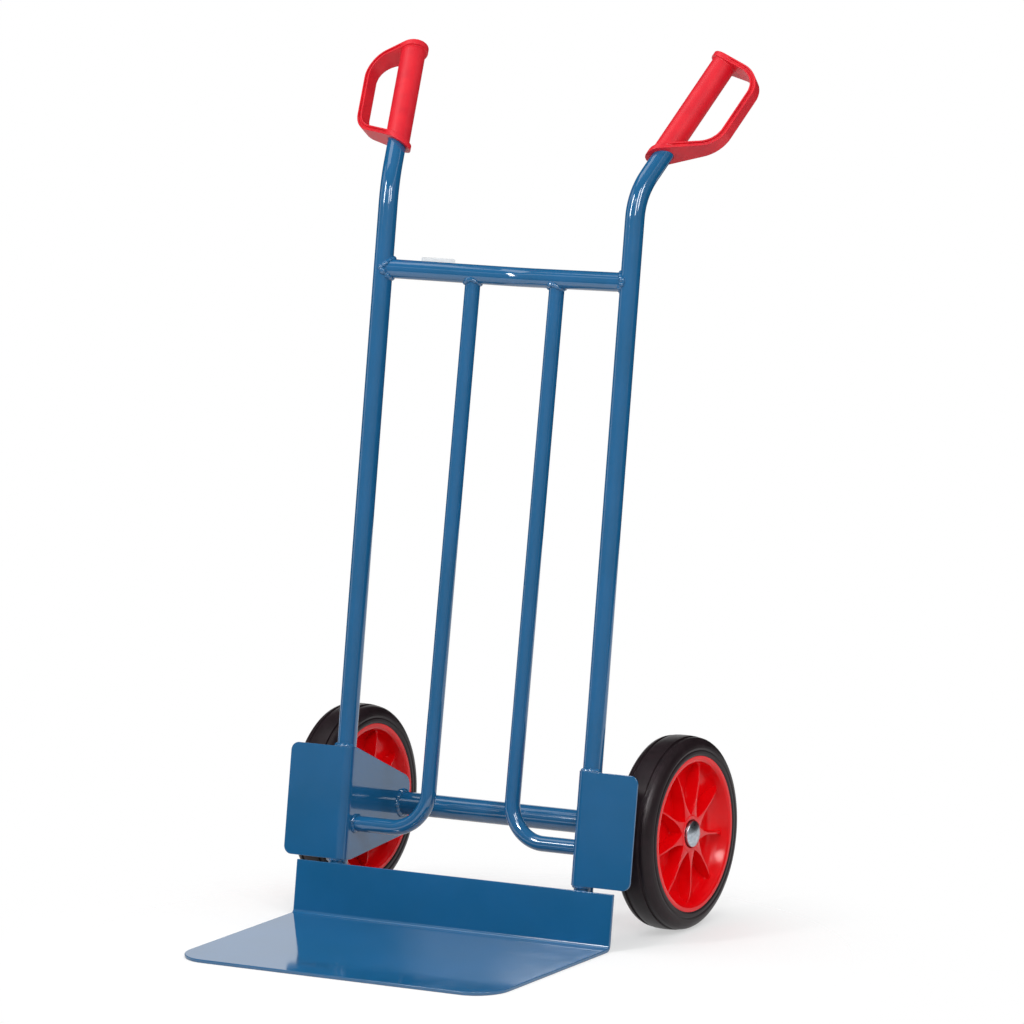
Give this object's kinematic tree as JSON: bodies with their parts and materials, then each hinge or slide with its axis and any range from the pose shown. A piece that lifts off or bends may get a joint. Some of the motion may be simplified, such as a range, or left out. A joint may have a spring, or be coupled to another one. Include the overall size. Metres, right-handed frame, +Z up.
{
  "type": "sack truck",
  "caption": "Two-wheeled sack truck with a bent tube frame, folded toe plate, wheel guards, solid rubber tyres and D-guard hand grips.",
  "frame": {"origin": "on the floor under the middle of the toe plate's flat underside, on the truck's middle plane", "axes": "+Z up; -Y to the front, where the load stands; +X to the operator's left, along the axle"},
  "size_m": [0.5798, 0.6338, 1.1149],
  "materials": {
    "blue_paint": "glossy powder coat",
    "red_grip_plastic": "satin moulded plastic",
    "red_rim_plastic": "semi-gloss moulded plastic",
    "black_rubber": "matt solid rubber",
    "black_plastic": "satin moulded plastic",
    "cage_plastic": "greased moulded plastic",
    "zinc_steel": "bright zinc plate"
  },
  "bodies": {
    "frame": {"axle": "zinc_steel", "axle_tube": "blue_paint", "crossbar": "blue_paint", "grip_left": "red_grip_plastic", "grip_right": "red_grip_plastic", "hub_cap_left": "zinc_steel", "hub_cap_right": "zinc_steel", "inner_bar_left": "blue_paint", "inner_bar_right": "blue_paint", "inner_washer_left": "zinc_steel", "inner_washer_right": "zinc_steel", "outer_washer_left": "zinc_steel", "outer_washer_right": "zinc_steel", "spacer_left": "zinc_steel", "spacer_right": "zinc_steel", "toe_plate": "blue_paint", "tube_plug_left": "black_plastic", "tube_plug_right": "black_plastic", "upright_left": "blue_paint", "upright_right": "blue_paint", "wheel_bracket_left": "blue_paint", "wheel_bracket_right": "blue_paint"},
    "wheel_left": {"rim_left": "red_rim_plastic", "tyre_left": "black_rubber"},
    "wheel_right": {"rim_right": "red_rim_plastic", "tyre_right": "black_rubber"},
    "bearing_left": {"roller_cage_left": "cage_plastic", "rollers_left": "zinc_steel"},
    "bearing_right": {"roller_cage_right": "cage_plastic", "rollers_right": "zinc_steel"}
  },
  "joints": [
    {"name": "wheel_left_spin", "type": "hinge", "parent": "frame", "child": "wheel_left", "pos_m": [0.242, 0.31569, 0.125], "axis": [1, 0, 0], "continuous": true},
    {"name": "wheel_right_spin", "type": "hinge", "parent": "frame", "child": "wheel_right", "pos_m": [-0.242, 0.31569, 0.125], "axis": [1, 0, 0], "continuous": true},
    {"name": "bearing_left_spin", "type": "hinge", "parent": "frame", "child": "bearing_left", "pos_m": [0.242, 0.31569, 0.125], "axis": [1, 0, 0], "continuous": true},
    {"name": "bearing_right_spin", "type": "hinge", "parent": "frame", "child": "bearing_right", "pos_m": [-0.242, 0.31569, 0.125], "axis": [1, 0, 0], "continuous": true}
  ],
  "couplings": [
    {"joint": "bearing_left_spin", "follows": "wheel_left_spin", "ratio": 0.6008},
    {"joint": "bearing_right_spin", "follows": "wheel_right_spin", "ratio": 0.6008}
  ]
}
